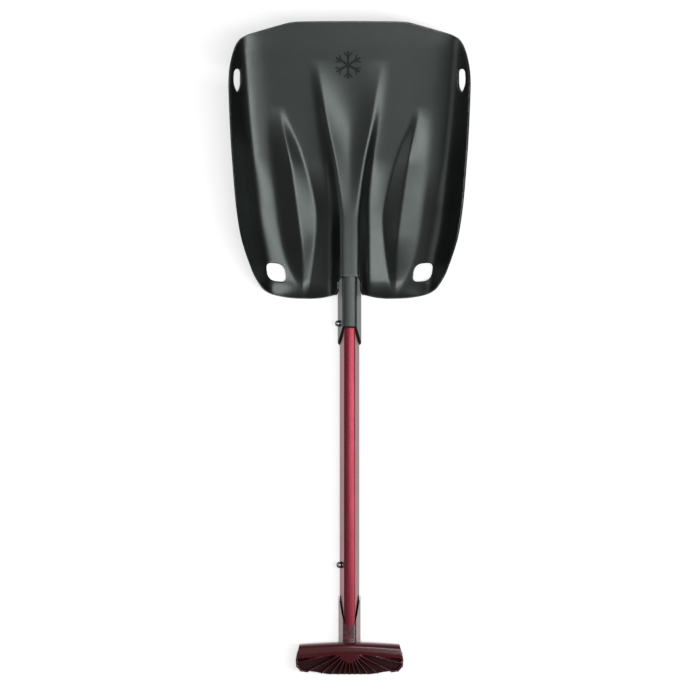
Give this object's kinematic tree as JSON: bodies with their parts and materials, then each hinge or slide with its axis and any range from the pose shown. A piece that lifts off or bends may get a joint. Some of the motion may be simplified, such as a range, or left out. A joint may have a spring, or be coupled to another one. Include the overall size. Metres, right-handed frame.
{
  "type": "avalanche shovel",
  "caption": "Compact telescoping snow shovel: pressed aluminium blade with riveted socket, trapezoid sliding shaft with snap buttons, ribbed T-grip.",
  "frame": {"origin": "under the middle of the whole shovel, on the surface that it lies on", "axes": "+Y along the shaft to the blade's tip, +X to the right seen from the front, +Z out of the blade's hollow"},
  "size_m": [0.2556, 0.6938, 0.0669],
  "materials": {
    "blade_anodise": "dark grey-green satin anodise",
    "shaft_anodise": "red anodise",
    "black_nylon": "moulded black nylon",
    "grip_plastic": "glossy dark maroon moulding",
    "chrome": "polished chrome",
    "spring_steel": "spring steel"
  },
  "bodies": {
    "blade_unit": {"blade": "blade_anodise", "socket_tube": "blade_anodise", "socket_rivet_1": "blade_anodise", "socket_rivet_2": "blade_anodise", "socket_bush": "black_nylon"},
    "shaft_unit": {"shaft_tube": "shaft_anodise", "shaft_end_plug": "black_nylon", "lower_lock_spring": "spring_steel", "upper_lock_spring": "spring_steel", "grip_body": "grip_plastic", "grip_pin": "spring_steel"},
    "lower_button": {"lower_lock_button": "chrome"},
    "upper_button": {"upper_lock_button": "chrome"}
  },
  "joints": [
    {"name": "shaft_slide", "type": "slide", "parent": "blade_unit", "child": "shaft_unit", "axis": [0, 1, 0], "range_m": [0, 0.2575], "deforming": ["lower_lock_button"]},
    {"name": "lower_button_press", "type": "slide", "parent": "shaft_unit", "child": "lower_button", "axis": [0.9678, 0, -0.2516], "range_m": [0, 0.0062], "stiffness_N_per_m": 1500, "springref_m": -0.002, "deforming": ["lower_lock_spring"]},
    {"name": "upper_button_press", "type": "slide", "parent": "shaft_unit", "child": "upper_button", "axis": [0.9678, 0, -0.2516], "range_m": [0, 0.0048], "stiffness_N_per_m": 1500, "springref_m": -0.002, "deforming": ["upper_lock_spring"]}
  ]
}
